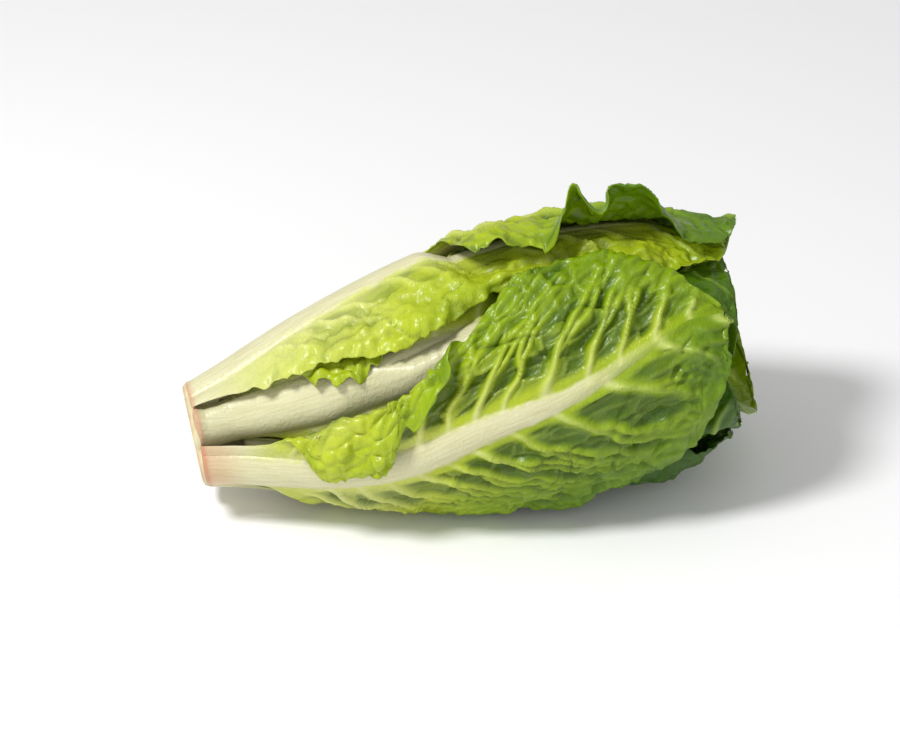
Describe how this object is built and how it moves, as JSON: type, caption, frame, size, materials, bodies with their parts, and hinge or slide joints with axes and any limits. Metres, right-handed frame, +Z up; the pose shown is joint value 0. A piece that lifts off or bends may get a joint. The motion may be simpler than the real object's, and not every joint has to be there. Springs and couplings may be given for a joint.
{
  "type": "romaine heart",
  "caption": "Romaine heart lying on its belly: long ribbed leaves nested round a short cut stem.",
  "frame": {"origin": "on the surface that the heart lies on, in the flat that its belly is pressed to, under its middle", "axes": "+Z up; +X from the cut stem end to the leaf tips; -Y is the side with the outermost leaf"},
  "size_m": [0.2058, 0.1053, 0.1214],
  "materials": {
    "stem": "firm pale stem, matt, with a dry pinkish brown cut end",
    "leaf_outer": "waxy leaf, softly glossy, cream midrib and veins, blade from yellow green at the base to deep green",
    "leaf_inner": "tender inner leaf, softly glossy, white midrib, pale yellow green blade"
  },
  "bodies": {
    "root": {"stem_core": "stem", "leaf_01": "leaf_outer", "leaf_02": "leaf_outer", "leaf_03": "leaf_outer", "leaf_04": "leaf_outer", "leaf_05": "leaf_outer", "leaf_06": "leaf_outer", "leaf_07": "leaf_outer", "leaf_08": "leaf_outer", "leaf_09": "leaf_inner", "leaf_10": "leaf_inner", "leaf_11": "leaf_inner", "leaf_12": "leaf_inner", "leaf_13": "leaf_inner"}
  },
  "joints": []
}
